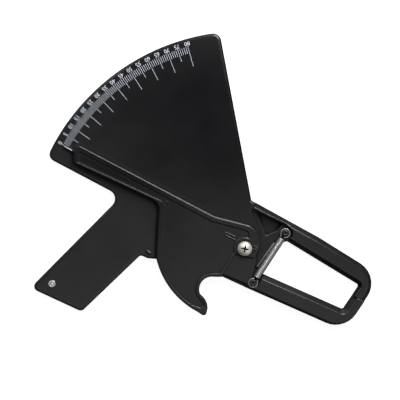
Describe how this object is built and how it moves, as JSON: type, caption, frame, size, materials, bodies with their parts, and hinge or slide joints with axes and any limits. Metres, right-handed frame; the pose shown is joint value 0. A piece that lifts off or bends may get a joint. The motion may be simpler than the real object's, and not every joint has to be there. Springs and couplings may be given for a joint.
{
  "type": "skinfold caliper",
  "caption": "Flat skinfold caliper: fan-shaped dial frame with grip and fixed jaw, and a sprung trigger lever with pointer and moving jaw on one screw.",
  "frame": {"origin": "pivot axis at the frame's back face, on which the caliper lies", "axes": "+X along the closed jaws' meeting line, from the pivot to the jaw tips, +Z along the pivot axis, out of the dial's front"},
  "size_m": [0.296, 0.2612, 0.0163],
  "materials": {
    "black_abs": "satin moulded",
    "nickel_screw": "bright",
    "steel_hardware": "satin",
    "spring_steel": "drawn, bright",
    "acetal": "satin",
    "eyelet_metal": "bright"
  },
  "bodies": {
    "frame_body": {"frame": "black_abs", "pivot_screw": "nickel_screw", "head_washer": "steel_hardware", "pivot_bushing": "steel_hardware", "thrust_washer": "acetal", "pivot_nut": "steel_hardware", "tension_spring": "spring_steel", "grip_eyelet": "eyelet_metal", "eyelet_washer": "steel_hardware"},
    "lever_body": {"lever": "black_abs"}
  },
  "joints": [
    {"name": "jaw_pivot", "type": "hinge", "parent": "frame_body", "child": "lever_body", "pos_m": [0, 0, 0], "axis": [0, 0, 1], "range_deg": [-45, 0], "stiffness_Nm_per_rad": 0.25, "springref_deg": 51.57, "deforming": ["tension_spring"]}
  ]
}
